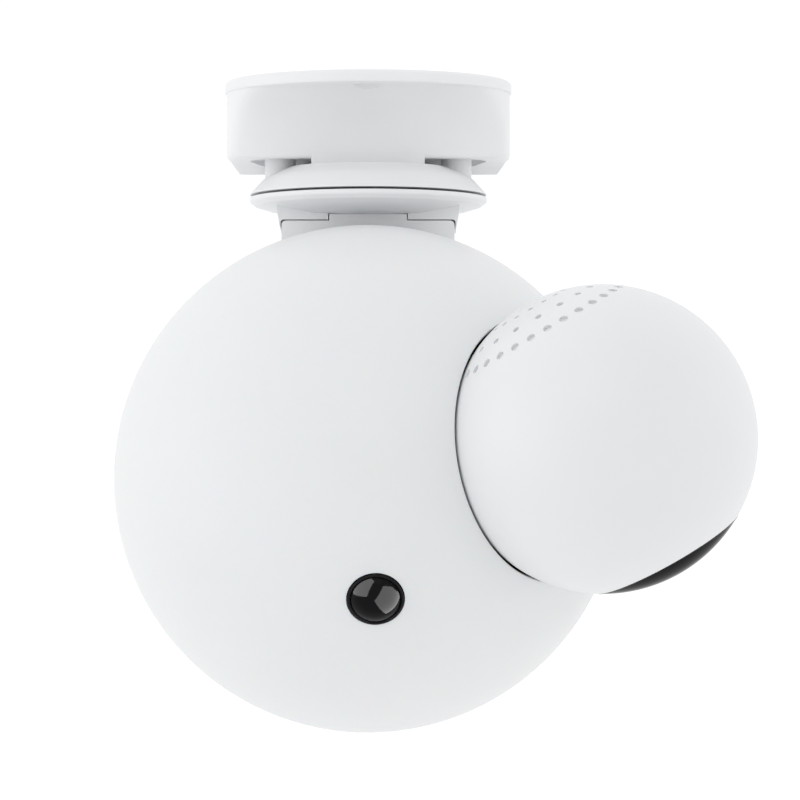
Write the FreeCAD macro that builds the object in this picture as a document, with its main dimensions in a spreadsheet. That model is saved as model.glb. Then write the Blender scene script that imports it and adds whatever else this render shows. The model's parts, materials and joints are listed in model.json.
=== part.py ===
import FreeCAD, Part
import math
import os

import Sketcher

# A wall lamp with a spherical head, and a camera ball that swivels in a socket of that head.
# Millimetres, +Z up. The origin is the middle of the wall plate's back; +Y points into the wall.

Vector = FreeCAD.Vector
doc = FreeCAD.newDocument("FloodlightCamera")

# ---------------------------------------------------------------- sizes

SIZES = {
    # wall bracket
    "plate_radius": 48.8, "plate_depth": 4.2, "plate_lip": 0.9, "bar_radius": 48.2,
    "bar_depth": 26.9, "bar_half": 15.0, "cove_radius": 23.6, "cove_centre_depth": 27.4,
    "cove_centre_out": 38.6, "cove_blend": 9.0, "skirt_depth": 30.2, "sweep_start": 3.0,
    "sweep_radius": 16.8, "chamfer_depth": 24.9, "boss_half": 19.2,
    "wall_screw_offset": 36.0, "wall_screw_hole": 2.3, "wall_screw_recess": 4.9, "recess_depth": 1.6,
    "wiring_radius": 12.5, "wiring_depth": 20.0,
    "gasket_radius": 46.5, "gasket_inner": 41.5, "gasket_depth": 1.4,
    "post_offset": 29.9, "post_radius": 5.25, "post_well_radius": 10.5, "post_well_depth": 1.2,
    "post_clearance": 0.6, "post_length": 5.2, "thread_depth": 14.0,
    # fixed flange
    "cone_top_radius": 27.2, "cone_top_depth": 29.2, "cone_middle_radius": 35.2,
    "cone_middle_depth": 32.7, "flange_radius": 40.4, "flange_top_depth": 37.7,
    "flange_face_depth": 38.5,
    "seal_gap": 0.8, "seal_radius": 34.0, "seal_inner": 29.0,
    "screw_radius": 1.9, "screw_head_radius": 3.4, "screw_head_height": 2.2, "screw_length": 22.0,
    # swivel
    "tube_radius": 7.0, "tube_bore": 4.4, "tube_fit": 0.05, "tube_end_depth": 45.2,
    "nut_radius": 10.4, "nut_height": 3.0, "washer_height": 0.5,
    # arm
    "arm_rim_depth": 40.9, "arm_edge_depth": 42.4, "arm_dish_depth": 43.7, "arm_swell_depth": 45.6,
    "arm_dome_depth": 46.1, "yoke_half": 18.0, "yoke_width": 30.9, "yoke_depth": 48.0,
    "cheek_depth": 50.2, "knuckle_width": 27.6, "tongue_half": 13.1, "tongue_top_depth": 46.2,
    "hinge_depth": 54.2, "hinge_rise": 9.0,
    "knuckle_radius": 6.0, "hinge_gap": 0.35, "hinge_pin_radius": 3.0, "hinge_fit": 0.04,
    "pin_cap_radius": 4.6, "pin_cap_depth": 1.2, "neck_width": 29.2, "neck_screw_reach": 9.5,
    # head
    "head_radius": 85.0, "head_depth": 136.0, "head_drop": 30.0, "head_wall": 3.0,
    "parting_rise": 6.0, "ledge_inner": 69.0, "ledge_height": 5.0, "ring_inner": 76.0,
    "head_seal_half": 0.9, "head_seal_depth": 0.8, "led_board_radius": 52.0, "led_board_height": 1.6,
    "led_height": 0.7, "sink_radius": 75.5, "sink_height": 3.0, "fin_height": 12.0,
    "boss_offset": 74.0, "boss_radius": 5.0, "boss_bore": 3.4,
    # motion sensor
    "sensor_ring_radius": 9.4, "sensor_ring_inner": 8.1, "sensor_ring_proud": 1.0,
    "sensor_lens_radius": 8.0, "sensor_lens_curve": 10.0, "sensor_hole": 9.5,
    # camera socket
    "ball_distance": 99.4, "ball_radius": 50.5, "socket_gap": 0.8, "socket_wall": 2.4,
    "stem_radius": 8.0, "stem_bore": 4.0, "stem_fit": 0.05, "stem_pad_radius": 11.5,
    "stem_pad_top": 49.2, "stem_pad_bottom": 43.5, "stem_shoulder": 9.8, "stem_shoulder_height": 1.8,
    "stem_end": 37.5, "stem_nut_radius": 11.0, "stem_nut_height": 4.0,
    "tilt_pin_radius": 2.5, "tilt_fit": 0.04, "stem_eye_half": 4.8, "lug_gap": 0.35, "lug_width": 4.0,
    "lug_radius": 7.0,
    # camera ball
    "ball_wall": 2.4, "window_wall": 1.8, "window_edge": 42.7, "window_line": 0.15,
    "lens_barrel_radius": 8.0, "lens_radius": 6.2, "chassis_radius": 22.0,
    "speaker_radius": 16.0, "speaker_distance": 31.0,
    "cover_radius": 13.0, "cover_thickness": 1.4, "button_radius": 2.6, "button_fit": 0.06,
}

sheet = doc.addObject("Spreadsheet::Sheet", "Sizes")
for line, (alias, value) in enumerate(SIZES.items(), start=1):
    sheet.set("A%d" % line, alias)
    sheet.set("B%d" % line, str(value))
    sheet.setAlias("B%d" % line, alias)
doc.recompute()


def formula(words):
    """A sum of named sizes such as "bar_depth - 2 * bar_half", as the sheet's own expression."""
    terms = []
    for word in words.split():
        plain = word in "+-*/()" or word.replace(".", "").isdigit()
        terms.append(word if plain else "Sizes." + word)
    return " ".join(terms)


def bind(item, **sizes):
    """Binds each property of an object to a formula of named sizes."""
    for name, words in sizes.items():
        item.setExpression(name, formula(words))
    return item


# ---------------------------------------------------------------- places


def place(at=(0, 0, 0), along=(0, 0, 1), across=None):
    """A placement whose local Z lies along one direction and whose local X is nearest to another."""
    up = Vector(*along).normalize()
    side = Vector(*across) if across else Vector(1, 0, 0)
    if abs(side.normalize().dot(up)) > 0.95:
        side = Vector(0, 1, 0)
    side = (side - up * side.dot(up)).normalize()
    turn = FreeCAD.Rotation(side, up.cross(side), up, "ZXY")
    return FreeCAD.Placement(Vector(*at), turn)


def toward(direction, distance, start=(0, 0, 0)):
    return tuple(Vector(*start) + Vector(*direction).normalize() * distance)


OUTWARD = (0, -1, 0)
HEAD_CENTRE = (0, -SIZES["head_depth"], -SIZES["head_drop"])
BALL_DIRECTION = tuple(Vector(-0.774, 0.107, -0.624).normalize())
LENS_DIRECTION = tuple(Vector(-0.491, -0.856, 0.160).normalize())
SOUND_DIRECTION = tuple(Vector(0.5, 0.865, -0.042).normalize())
SENSOR_DIRECTION = tuple(Vector(-0.034, -0.494, -0.869).normalize())
BALL_CENTRE = toward(BALL_DIRECTION, SIZES["ball_distance"], HEAD_CENTRE)
TILT_AXIS = tuple(Vector(*BALL_DIRECTION).cross(Vector(*LENS_DIRECTION)).normalize())
STEM_INWARD = tuple(-Vector(*BALL_DIRECTION))
HINGE_DEPTH = SIZES["hinge_depth"]
HINGE = (0, -HINGE_DEPTH, SIZES["hinge_rise"])

# ---------------------------------------------------------------- plain pieces


def cylinder(name, radius, height, where):
    item = bind(doc.addObject("Part::Cylinder", name), Radius=radius, Height=height)
    item.Placement = where
    return item


def cone(name, first, last, height, where):
    item = bind(doc.addObject("Part::Cone", name), Radius1=first, Radius2=last, Height=height)
    item.Placement = where
    return item


def ball(name, radius, where):
    item = bind(doc.addObject("Part::Sphere", name), Radius=radius)
    item.Placement = where
    return item


def block(name, length, width, height, where):
    """A block that is centred on its place along X and Y and rises along Z."""
    item = bind(doc.addObject("Part::Box", name), Length=length, Width=width, Height=height)
    half = Vector(value_of(length) / 2, value_of(width) / 2, 0)
    item.Placement = where.multiply(FreeCAD.Placement(-half, FreeCAD.Rotation()))
    return item


def joined(name, *pieces):
    if len(pieces) == 1:
        return pieces[0]
    item = doc.addObject("Part::MultiFuse", name)
    item.Shapes = list(pieces)
    return item


def cut(name, base, *tools):
    item = doc.addObject("Part::Cut", name)
    item.Base = base
    item.Tool = joined(name + "_tool", *tools)
    return item


def common(name, base, tool):
    item = doc.addObject("Part::MultiCommon", name)
    item.Shapes = [base, tool]
    return item


def group(name, pieces):
    """Several equal pieces that do not touch, kept as one sub-part."""
    item = doc.addObject("Part::Compound", name)
    item.Links = list(pieces)
    return item


def sized(name, length, width, height, where):
    """A plain block with its own number sizes, for parts that no other size depends on."""
    return block(name, str(length), str(width), str(height), where)


def around(count, radius, where, first=0.0):
    """Placements on a circle about the local Z of a place."""
    spots = []
    for index in range(count):
        turn = FreeCAD.Rotation(Vector(0, 0, 1), first + 360.0 * index / count)
        spots.append(where.multiply(FreeCAD.Placement(turn.multVec(Vector(radius, 0, 0)), turn)))
    return spots


def from_wall(depth, x=0.0, z=0.0):
    """A place whose local Z points away from the wall, at a depth in front of it."""
    return place((x, -depth, z), OUTWARD, (1, 0, 0))


# ---------------------------------------------------------------- turned bodies


def turned(name, outline, where):
    """A PartDesign body turned about its local Z; the outline lists (radius, height) formulas."""
    body = doc.addObject("PartDesign::Body", name)
    sketch = body.newObject("Sketcher::SketchObject", name + "_outline")
    upright = [f for f in body.Origin.OriginFeatures if f.Role == "XZ_Plane"][0]
    sketch.AttachmentSupport = (upright, [""])
    sketch.MapMode = "FlatFace"
    corners = [Vector(value_of(r), value_of(h), 0) for r, h in outline]
    count = len(corners)
    for index in range(count):
        line = Part.LineSegment(corners[index], corners[(index + 1) % count])
        sketch.addGeometry(line, False)
    for index in range(count):
        sketch.addConstraint(Sketcher.Constraint("Coincident", index, 2, (index + 1) % count, 1))
    for index, (radius, height) in enumerate(outline):
        for kind, words, value in (
            ("DistanceX", radius, corners[index].x),
            ("DistanceY", height, corners[index].y),
        ):
            spot = sketch.addConstraint(Sketcher.Constraint(kind, -1, 1, index, 1, value))
            sketch.setExpression("Constraints[%d]" % spot, formula(words))
    turn = body.newObject("PartDesign::Revolution", name + "_turn")
    turn.Profile = sketch
    turn.ReferenceAxis = (sketch, ["V_Axis"])
    turn.Angle = 360.0
    body.Tip = turn
    body.Placement = where
    return body


def value_of(words):
    """The number that a sum of named sizes gives."""
    terms = words.replace("- ", "+ -1 * ").split("+")
    return sum(math.prod(number(word.strip()) for word in term.split("*")) for term in terms)


def number(word):
    return SIZES[word] if word in SIZES else float(word)


# ---------------------------------------------------------------- wall bracket


def blended_bar():
    """The bar's solid: a round with a cove along each side, its ends softly rounded."""
    behind = 10
    whole = cylinder("bar_round", "bar_radius", "skirt_depth + %d" % behind, from_wall(-behind))
    tools = []
    below = SIZES["cove_centre_depth"]
    for side in (-1, 1):
        out = side * SIZES["cove_centre_out"]
        start = place((-60, -below, out), (1, 0, 0))
        tools.append(cylinder("cove%+d" % side, "cove_radius", "120", start))
        middle = side * (SIZES["bar_half"] + 30)
        tools.append(sized("below_cove%+d" % side, 120, 60, 20, from_wall(below, 0, middle)))
        beyond = from_wall(below - SIZES["cove_radius"], 0, out + side * 30)
        tools.append(sized("beyond_cove%+d" % side, 120, 60, 40, beyond))
    coved = cut("bar_coved", whole, *tools)
    doc.recompute()
    blend = doc.addObject("Part::Fillet", "bar_blended")
    blend.Base = coved
    radius = SIZES["cove_blend"]
    blend.Edges = [(index, radius, radius) for index in rim_edges(coved.Shape)]
    return blend


def rim_edges(shape):
    """Numbers of the edges that lie on the bar's round and end the coves."""
    found = []
    for index, edge in enumerate(shape.Edges, start=1):
        points = edge.discretize(7)
        on_round = all(abs(math.hypot(p.x, p.z) - SIZES["bar_radius"]) < 0.05 for p in points)
        in_front = all(-SIZES["skirt_depth"] - 0.01 < p.y < 0 for p in points)
        lowest = all(p.y < -SIZES["skirt_depth"] + 0.01 for p in points)
        if on_round and in_front and not lowest:
            found.append(index)
    return found


def make_wall_bracket():
    """A round plate and a bar across it, with a cove at each side and a skirt along the back."""
    plate = turned("bracket_plate", [
        ("0", "0"), ("plate_radius - plate_lip", "0"), ("plate_radius", "plate_lip"),
        ("plate_radius", "plate_depth - 0.3"), ("plate_radius - 0.3", "plate_depth"),
        ("0", "plate_depth"),
    ], from_wall(0))
    tools = []
    step = from_wall(SIZES["bar_depth"], 0, SIZES["sweep_start"] - 30)
    tools.append(sized("bar_face", 120, 60, 10, step))
    sweep = place((-60, -SIZES["bar_depth"] - SIZES["sweep_radius"], SIZES["sweep_start"]), (1, 0, 0))
    tools.append(cylinder("skirt_sweep", "sweep_radius", "120", sweep))
    for side in (-1, 1):
        slant = place((side * SIZES["bar_radius"], -SIZES["chamfer_depth"], 0),
                      (side * 0.782, -0.623, 0), (0, 0, 1))
        tools.append(sized("end_chamfer%+d" % side, 60, 40, 20, slant))
    tools.append(sized("bar_behind", 120, 120, 12, from_wall(-12)))
    bar = cut("bracket_bar", blended_bar(), *tools)
    boss = block("bracket_boss", "2 * boss_half", "2 * bar_half - 2", "cone_top_depth - bar_depth + 2",
                 from_wall(SIZES["bar_depth"] - 2, 0, -1))
    tools = []
    for side in (-1, 1):
        spot = side * SIZES["wall_screw_offset"]
        tools.append(cylinder("screw_hole%+d" % side, "wall_screw_hole", "20", from_wall(-1, 0, spot)))
        recess = from_wall(SIZES["recess_depth"], 0, spot)
        tools.append(cylinder("screw_recess%+d" % side, "wall_screw_recess", "18", recess))
        post = side * SIZES["post_offset"]
        well = from_wall(SIZES["bar_depth"] - SIZES["post_well_depth"], post)
        tools.append(cylinder("post_well%+d" % side, "post_well_radius", "10", well))
        hole = from_wall(SIZES["bar_depth"] - SIZES["post_length"] - 0.2, post)
        tools.append(cylinder("post_hole%+d" % side, "post_radius + post_clearance", "10", hole))
        thread = from_wall(SIZES["thread_depth"], post)
        tools.append(cylinder("post_thread%+d" % side, "screw_radius", "14", thread))
    low = from_wall(SIZES["cone_top_depth"])
    tools.append(cone("flange_clearance", "cone_top_radius + 1", "cone_top_radius + 7", "6", low))
    tools.append(cylinder("tube_head_room", "tube_radius + 3.5", "9",
                          from_wall(SIZES["cone_top_depth"] - 3.4)))
    tools.append(cylinder("wiring_well", "wiring_radius", "wiring_depth + 1", from_wall(-1)))
    tools.append(cylinder("wire_way", "tube_radius + 1.5", "40", from_wall(-1)))
    ring = cylinder("gasket_ring", "gasket_radius", "gasket_depth + 1", from_wall(-1))
    core = cylinder("gasket_core", "gasket_inner", "gasket_depth + 3", from_wall(-2))
    tools.append(cut("gasket_groove", ring, core))
    return cut("wall_bracket", joined("bracket_body", plate, bar, boss), *tools)


def make_wall_gasket():
    return turned("wall_gasket", [
        ("gasket_inner + 0.1", "0"), ("gasket_radius - 0.1", "0"),
        ("gasket_radius - 0.1", "gasket_depth"), ("gasket_inner + 0.1", "gasket_depth"),
    ], from_wall(0))


def make_terminal_block():
    """The screw terminals for the mains wires, in the bracket's hollow."""
    base = sized("terminal_base", 15, 9, 9, from_wall(8))
    holes = []
    for index in (-1, 0, 1):
        where = from_wall(7, 4.6 * index)
        holes.append(cylinder("terminal_screw%+d" % index, "1.4", "6", where))
    return cut("terminal_block", base, *holes)


def make_fixed_flange():
    """The cone under the bracket with its two posts; the arm turns below it."""
    shell = turned("flange_turning", [
        ("tube_radius", "cone_top_depth"), ("cone_top_radius", "cone_top_depth"),
        ("cone_middle_radius", "cone_middle_depth"), ("flange_radius - 0.3", "flange_top_depth"),
        ("flange_radius", "flange_top_depth + 0.4"), ("flange_radius", "flange_face_depth"),
        ("tube_radius", "flange_face_depth"),
    ], from_wall(0))
    posts = []
    holes = []
    for side in (-1, 1):
        spot = side * SIZES["post_offset"]
        top = SIZES["bar_depth"] - SIZES["post_length"]
        posts.append(cylinder("post%+d" % side, "post_radius",
                              "flange_face_depth - bar_depth + post_length", from_wall(top, spot)))
        holes.append(cylinder("post_bore%+d" % side, "screw_radius", "30", from_wall(10, spot)))
        head = SIZES["flange_face_depth"] - SIZES["screw_head_height"] - 0.4
        holes.append(cylinder("post_counterbore%+d" % side, "screw_head_radius", "8",
                              from_wall(head, spot)))
    return cut("fixed_flange", joined("flange_body", shell, *posts), *holes)


def make_flange_screws():
    screws = []
    for side in (-1, 1):
        spot = side * SIZES["post_offset"]
        head_top = SIZES["flange_face_depth"] - SIZES["screw_head_height"] - 0.4
        head = cylinder("flange_head%+d" % side, "screw_head_radius - 0.1", "screw_head_height",
                        from_wall(head_top, spot))
        shank = cylinder("flange_shank%+d" % side, "screw_radius - 0.05", "screw_length",
                         from_wall(head_top - SIZES["screw_length"] + 0.2, spot))
        drive = cylinder("flange_drive%+d" % side, "1.3", "2",
                         from_wall(SIZES["flange_face_depth"] - 1.7, spot))
        screws.append(cut("flange_screw%+d" % side, joined("flange_bolt%+d" % side, head, shank), drive))
    return group("flange_screws", screws)


def make_swivel_tube():
    """The hollow threaded tube that the arm turns about and the wires pass through."""
    return turned("swivel_tube", [
        ("tube_bore", "cone_top_depth - 3"), ("tube_radius + 3", "cone_top_depth - 3"),
        ("tube_radius + 3", "cone_top_depth"), ("tube_radius", "cone_top_depth"),
        ("tube_radius", "tube_end_depth"), ("tube_bore", "tube_end_depth"),
    ], from_wall(0))


def make_swivel_nut():
    top = SIZES["tube_end_depth"] - SIZES["nut_height"] - 0.6
    return cut("swivel_nut",
               cylinder("swivel_nut_body", "nut_radius", "nut_height", from_wall(top)),
               cylinder("swivel_nut_bore", "tube_radius", "20", from_wall(top - 2)))


def make_swivel_washer():
    top = SIZES["tube_end_depth"] - SIZES["nut_height"] - 0.6 - SIZES["washer_height"]
    return cut("swivel_washer",
               cylinder("swivel_washer_body", "nut_radius + 0.8", "washer_height", from_wall(top)),
               cylinder("swivel_washer_bore", "tube_radius + tube_fit", "10", from_wall(top - 2)))


def make_swivel_seal():
    return turned("swivel_seal", [
        ("seal_inner", "flange_face_depth"), ("seal_radius", "flange_face_depth"),
        ("seal_radius", "flange_face_depth + seal_gap - 0.2"),
        ("seal_inner", "flange_face_depth + seal_gap - 0.2"),
    ], from_wall(0))


# ---------------------------------------------------------------- arm


def make_swivel_arm():
    """The disc that turns under the flange, and the two ears of the tilt hinge."""
    disc = turned("arm_turning", [
        ("0", "flange_face_depth + seal_gap"), ("flange_radius - 0.4", "flange_face_depth + seal_gap"),
        ("flange_radius", "flange_face_depth + seal_gap + 0.4"), ("flange_radius", "arm_rim_depth"),
        ("flange_radius - 1.9", "arm_edge_depth"), ("flange_radius - 6.4", "arm_dish_depth"),
        ("yoke_half + 8", "arm_swell_depth"), ("yoke_half + 2", "arm_dome_depth"),
        ("0", "arm_dome_depth"),
    ], from_wall(0))
    top = SIZES["flange_face_depth"] + SIZES["seal_gap"] + 1
    ears = []
    tools = []
    inner = SIZES["tongue_half"] + SIZES["hinge_gap"]
    for side in (-1, 1):
        block_middle = side * (SIZES["yoke_width"] + inner) / 2
        ears.append(block("ear%+d" % side, "yoke_width - tongue_half - hinge_gap", "2 * yoke_half",
                          str(SIZES["yoke_depth"] - top), from_wall(top, block_middle)))
        start = place((side * inner, HINGE[1], HINGE[2]), (side, 0, 0))
        ears.append(cylinder("knuckle%+d" % side, "knuckle_radius",
                             "knuckle_width - tongue_half - hinge_gap", start))
        web_middle = side * (SIZES["knuckle_width"] + inner) / 2
        web = place((web_middle, -SIZES["yoke_depth"] + 3, HINGE[2]), OUTWARD, (1, 0, 0))
        ears.append(block("ear_web%+d" % side, "knuckle_width - tongue_half - hinge_gap",
                          "2 * knuckle_radius", "hinge_depth - yoke_depth + 3", web))
        cheek_width = SIZES["yoke_width"] - SIZES["neck_width"] - SIZES["hinge_gap"]
        cheek_middle = side * (SIZES["yoke_width"] - cheek_width / 2)
        cheek = from_wall(SIZES["yoke_depth"] - 2, cheek_middle)
        ears.append(sized("cheek%+d" % side, cheek_width, 2 * SIZES["yoke_half"],
                          SIZES["cheek_depth"] - SIZES["yoke_depth"] + 2, cheek))
        cap = place((side * (SIZES["knuckle_width"] - SIZES["pin_cap_depth"]), HINGE[1], HINGE[2]),
                    (side, 0, 0))
        tools.append(cylinder("cap_seat%+d" % side, "pin_cap_radius", "5", cap))
    way = place((-40, HINGE[1], HINGE[2]), (1, 0, 0))
    tools.append(cylinder("ear_bore", "hinge_pin_radius", "80", way))
    tools.append(cylinder("arm_bore", "tube_radius + tube_fit", "30", from_wall(30)))
    nut_seat = SIZES["tube_end_depth"] - SIZES["nut_height"] - 0.6 - SIZES["washer_height"]
    tools.append(cylinder("nut_well", "nut_radius + 1.2", "20", from_wall(nut_seat - 0.05)))
    return cut("swivel_arm", joined("arm_body", disc, *ears), *tools)


def make_hinge_pin():
    start = place((-SIZES["knuckle_width"] + SIZES["pin_cap_depth"], HINGE[1], HINGE[2]), (1, 0, 0))
    return cylinder("hinge_pin", "hinge_pin_radius", "2 * knuckle_width - 2 * pin_cap_depth", start)


def make_hinge_caps():
    caps = []
    for side in (-1, 1):
        seat = place((side * (SIZES["knuckle_width"] - SIZES["pin_cap_depth"]), HINGE[1], HINGE[2]),
                     (side, 0, 0))
        disc = cylinder("hinge_cap%+d" % side, "pin_cap_radius - 0.05", "pin_cap_depth", seat)
        caps.append(disc)
    return group("hinge_caps", caps)


# ---------------------------------------------------------------- head


def head_place(rise=0.0, along=(0, 0, 1)):
    return place((HEAD_CENTRE[0], HEAD_CENTRE[1], HEAD_CENTRE[2] + rise), along)


def head_skin(name, inset="0"):
    return ball(name, "head_radius - " + inset, head_place())


def half_space(name, rise, above):
    """A block that holds everything of the head above, or below, a level."""
    level = head_place(rise if above else rise - 200)
    return sized(name, 300, 300, 200, level)


def make_hinge_block():
    """The neck: a tongue between the arm's ears, on a block that is screwed to the housing."""
    shoulder = SIZES["yoke_depth"] + SIZES["hinge_gap"]
    height = SIZES["yoke_half"] + SIZES["hinge_rise"]
    middle = (SIZES["hinge_rise"] - SIZES["yoke_half"]) / 2
    body = sized("neck_body", 2 * SIZES["neck_width"], height, 30, from_wall(shoulder, 0, middle))
    middle_top = SIZES["tongue_top_depth"]
    raised = sized("neck_middle", 2 * SIZES["tongue_half"], height, 30, from_wall(middle_top, 0, middle))
    web = sized("tongue_web", 2 * SIZES["tongue_half"], 2 * SIZES["knuckle_radius"], 14,
                from_wall(HINGE_DEPTH, 0, SIZES["hinge_rise"]))
    tongue = cylinder("tongue", "knuckle_radius", "2 * tongue_half",
                      place((-SIZES["tongue_half"], HINGE[1], HINGE[2]), (1, 0, 0)))
    relief = []
    for side in (-1, 1):
        start = place((side * SIZES["tongue_half"], HINGE[1], HINGE[2]), (side, 0, 0))
        relief.append(cylinder("ear_relief%+d" % side, "knuckle_radius + 0.5", "30", start))
        slot_high = 2 * SIZES["knuckle_radius"] + 1
        middle_x = side * (SIZES["tongue_half"] + 15)
        slot = from_wall(SIZES["yoke_depth"] - 1, middle_x, SIZES["hinge_rise"])
        relief.append(sized("ear_slot%+d" % side, 30, slot_high, HINGE_DEPTH - SIZES["yoke_depth"] + 1, slot))
    clear = cut("neck_clear", body, *relief)
    shape = joined("neck_shape", clear, raised, tongue, web)
    bore = place((-60, HINGE[1], HINGE[2]), (1, 0, 0))
    tools = [
        cylinder("tongue_bore", "hinge_pin_radius + hinge_fit", "120", bore),
        cylinder("neck_wire_way", "tube_bore", "60", from_wall(40)),
        ball("neck_seat", "head_radius", head_place()),
    ]
    for index, spot in enumerate(neck_screw_places()):
        thread = from_wall(shoulder + 1.5, spot.Base.x, spot.Base.z)
        tools.append(cylinder("neck_thread_%d" % index, "screw_radius", "30", thread))
    return cut("hinge_block", shape, *tools)


def neck_screw_places():
    """Where the four screws go out through the housing's wall into the neck."""
    spots = []
    for x in (-21, 21):
        for z in (-12, -2):
            spots.append(from_wall(0, x, z))
    return spots


def make_neck_screws():
    screws = []
    for index, spot in enumerate(neck_screw_places()):
        depth = housing_inside_depth(spot.Base)
        head = from_wall(depth, spot.Base.x, spot.Base.z)
        shank = from_wall(depth - SIZES["neck_screw_reach"], spot.Base.x, spot.Base.z)
        bolt = joined("neck_bolt_%d" % index,
                      cylinder("neck_bolt_head_%d" % index, "screw_head_radius", "screw_head_height", head),
                      cylinder("neck_bolt_shank_%d" % index, "screw_radius", "neck_screw_reach + 0.1", shank))
        screws.append(bolt)
    return group("neck_screws", screws)


def housing_inside_depth(spot):
    """The depth from the wall plate at which a line along Y meets the seat of a neck screw's head."""
    inner = SIZES["head_radius"] - SIZES["head_wall"]
    high = spot.z - HEAD_CENTRE[2]
    return SIZES["head_depth"] - math.sqrt(inner ** 2 - spot.x ** 2 - high ** 2) + 1.2


def bosses():
    """The four places, in the head's own corners, where its two halves are screwed together."""
    return around(4, SIZES["boss_offset"], head_place(SIZES["parting_rise"]), 45)


def make_top_housing():
    """The upper shell, with an inside ring at the parting and four screw wells."""
    rise = SIZES["parting_rise"]
    skin = cut("housing_skin", head_skin("housing_outside"), head_skin("housing_inside", "head_wall"))
    ring = cut("housing_ring", head_skin("ring_outside"),
               cylinder("ring_inside", "ring_inner", "200", head_place(-100)),
               half_space("ring_above", rise + SIZES["ledge_height"], True))
    solid = [skin, ring]
    tools = [half_space("housing_below", rise, False)]
    for index, spot in enumerate(bosses()):
        post = cylinder("boss_%d" % index, "boss_radius", "70", spot)
        solid.append(common("boss_in_%d" % index, post, head_skin("boss_skin_%d" % index)))
        floor = spot.multiply(FreeCAD.Placement(Vector(0, 0, 3), FreeCAD.Rotation()))
        tools.append(cylinder("boss_well_%d" % index, "boss_bore", "70", floor))
        tools.append(cylinder("boss_hole_%d" % index, "screw_radius", "70", spot))
    for index, spot in enumerate(neck_screw_places()):
        start = from_wall(40, spot.Base.x, spot.Base.z)
        tools.append(cylinder("neck_hole_%d" % index, "screw_radius", "40", start))
        seat = from_wall(housing_inside_depth(spot.Base), spot.Base.x, spot.Base.z)
        tools.append(cylinder("neck_seat_%d" % index, "screw_head_radius + 0.2", "9", seat))
    tools.append(cylinder("housing_wire_way", "tube_bore", "50", from_wall(40)))
    return cut("top_housing", joined("housing_shape", *solid), *tools)


def make_diffuser_dome():
    """The lower shell of opal plastic, open for the camera's socket and the motion sensor."""
    rise = SIZES["parting_rise"]
    skin = cut("dome_skin", head_skin("dome_outside"), head_skin("dome_inside", "head_wall"))
    ledge = cut("dome_ledge", head_skin("ledge_outside", "head_wall + 0.5"),
                cylinder("ledge_inside", "ledge_inner", "200", head_place(-100)),
                half_space("ledge_below", rise - SIZES["ledge_height"], False))
    sensor_way = place(toward(SENSOR_DIRECTION, 50, HEAD_CENTRE), SENSOR_DIRECTION)
    tools = [half_space("dome_above", rise, True),
             ball("dome_socket_hole", "ball_radius + socket_gap", place(BALL_CENTRE)),
             cylinder("dome_sensor_hole", "sensor_hole", "60", sensor_way)]
    middle = (SIZES["ring_inner"] + SIZES["head_radius"] - SIZES["head_wall"]) / 2
    groove = "%g" % middle
    outer = cylinder("seal_groove_out", groove + " + head_seal_half", "head_seal_depth + 1",
                     head_place(rise - SIZES["head_seal_depth"]))
    inner = cylinder("seal_groove_in", groove + " - head_seal_half", "5", head_place(rise - 2))
    tools.append(cut("seal_groove", outer, inner))
    for index, spot in enumerate(bosses()):
        down = spot.multiply(FreeCAD.Placement(Vector(0, 0, -4), FreeCAD.Rotation()))
        tools.append(cylinder("dome_thread_%d" % index, "screw_radius", "5", down))
    for index, spot in enumerate(sink_screw_places()):
        down = spot.multiply(FreeCAD.Placement(Vector(0, 0, -4), FreeCAD.Rotation()))
        tools.append(cylinder("ledge_thread_%d" % index, "1.2", "5", down))
    return cut("diffuser_dome", joined("dome_shape", skin, ledge), *tools)


def make_head_seal():
    middle = "%g" % ((SIZES["ring_inner"] + SIZES["head_radius"] - SIZES["head_wall"]) / 2)
    low = head_place(SIZES["parting_rise"] - SIZES["head_seal_depth"])
    return cut("head_seal",
               cylinder("head_seal_out", middle + " + head_seal_half - 0.1", "head_seal_depth", low),
               cylinder("head_seal_in", middle + " - head_seal_half + 0.1", "10",
                        head_place(SIZES["parting_rise"] - 4)))


def make_housing_screws():
    screws = []
    for index, spot in enumerate(bosses()):
        seat = spot.multiply(FreeCAD.Placement(Vector(0, 0, 3), FreeCAD.Rotation()))
        down = spot.multiply(FreeCAD.Placement(Vector(0, 0, -3.8), FreeCAD.Rotation()))
        head = cylinder("housing_head_%d" % index, "boss_bore - 0.1", "screw_head_height", seat)
        shank = cylinder("housing_shank_%d" % index, "screw_radius", "7", down)
        slot = seat.multiply(FreeCAD.Placement(Vector(0, 0, 1.1), FreeCAD.Rotation()))
        drive = cylinder("housing_drive_%d" % index, "1.3", "3", slot)
        screws.append(cut("housing_screw_%d" % index, joined("housing_bolt_%d" % index, head, shank), drive))
    return group("housing_screws", screws)


def sink_screw_places():
    return around(6, 72.3, head_place(SIZES["parting_rise"]), 0)


def make_heat_sink():
    """The plate that carries the lamp, with a row of fins above it."""
    rise = SIZES["parting_rise"]
    plate = cylinder("sink_plate", "sink_radius", "sink_height", head_place(rise))
    fins = []
    for index in range(-5, 6):
        long = 2 * math.sqrt(50.0 ** 2 - (8.0 * index) ** 2)
        fin = place((8.0 * index, HEAD_CENTRE[1], HEAD_CENTRE[2] + rise + 2), (0, 0, 1))
        fins.append(sized("fin%+d" % index, 2, long, SIZES["fin_height"] + 1, fin))
    holes = []
    for index, spot in enumerate(sink_screw_places()):
        holes.append(cylinder("sink_hole_%d" % index, "1.2", "9", spot))
    for index, spot in enumerate(bosses()):
        down = spot.multiply(FreeCAD.Placement(Vector(0, 0, -1), FreeCAD.Rotation()))
        holes.append(cylinder("sink_corner_%d" % index, "boss_radius + 0.4", "9", down))
    return cut("heat_sink", joined("sink_body", plate, *fins), *holes)


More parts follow.
